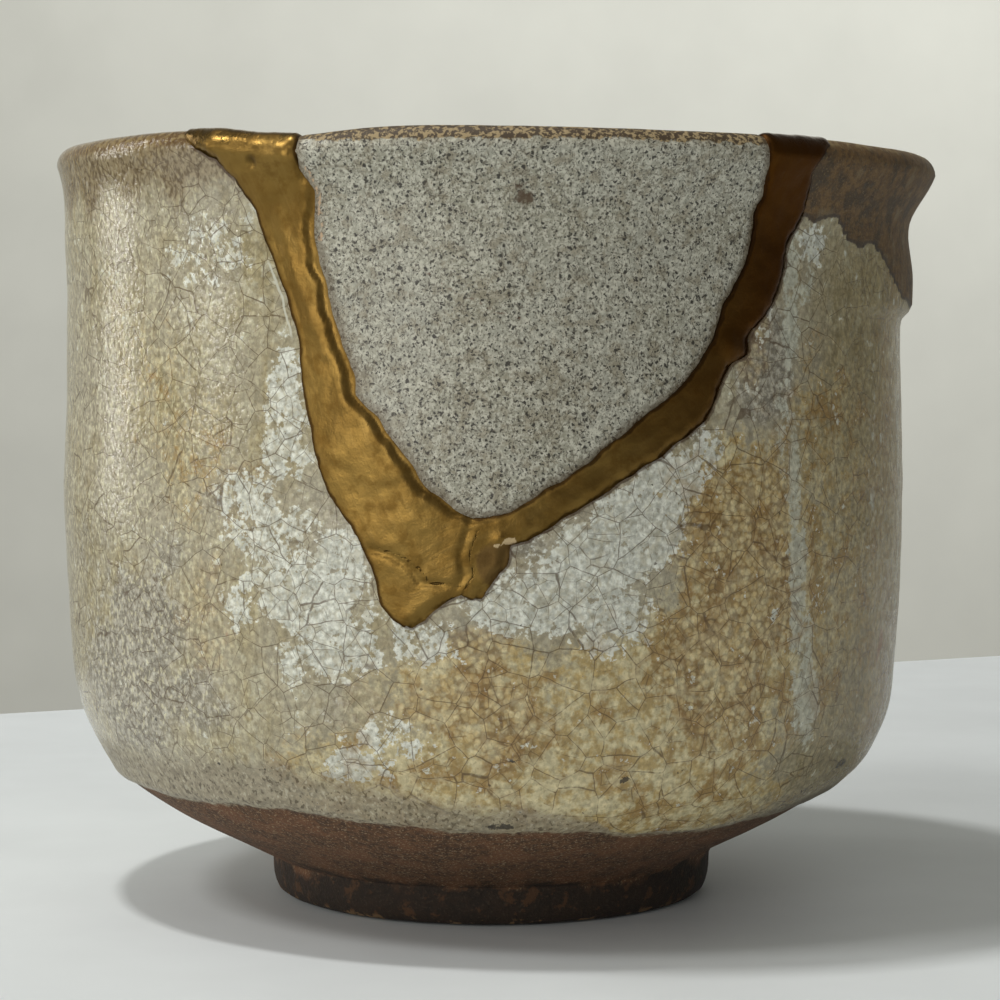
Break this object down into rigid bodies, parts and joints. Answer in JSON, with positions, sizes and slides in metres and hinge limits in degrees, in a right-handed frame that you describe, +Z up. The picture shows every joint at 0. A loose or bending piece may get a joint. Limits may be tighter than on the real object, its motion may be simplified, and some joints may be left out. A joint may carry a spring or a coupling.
{
  "type": "kintsugi tea bowl",
  "caption": "Deep stoneware tea bowl with a flared rim and a low cut foot, mended with a grey speckled shard and a thick gold lacquer seam.",
  "frame": {"origin": "centre of the foot ring, on the surface that the bowl stands on", "axes": "+Z is up, the mended front of the bowl faces -Y, and +X is to the right as seen from the front"},
  "size_m": [0.1141, 0.1132, 0.0969],
  "materials": {
    "crackled_glaze": "satin",
    "speckled_glaze": "satin",
    "gold_lacquer": "satin"
  },
  "bodies": {
    "root": {"bowl_body": "crackled_glaze", "grey_shard": "speckled_glaze", "gold_seam": "gold_lacquer"}
  },
  "joints": []
}
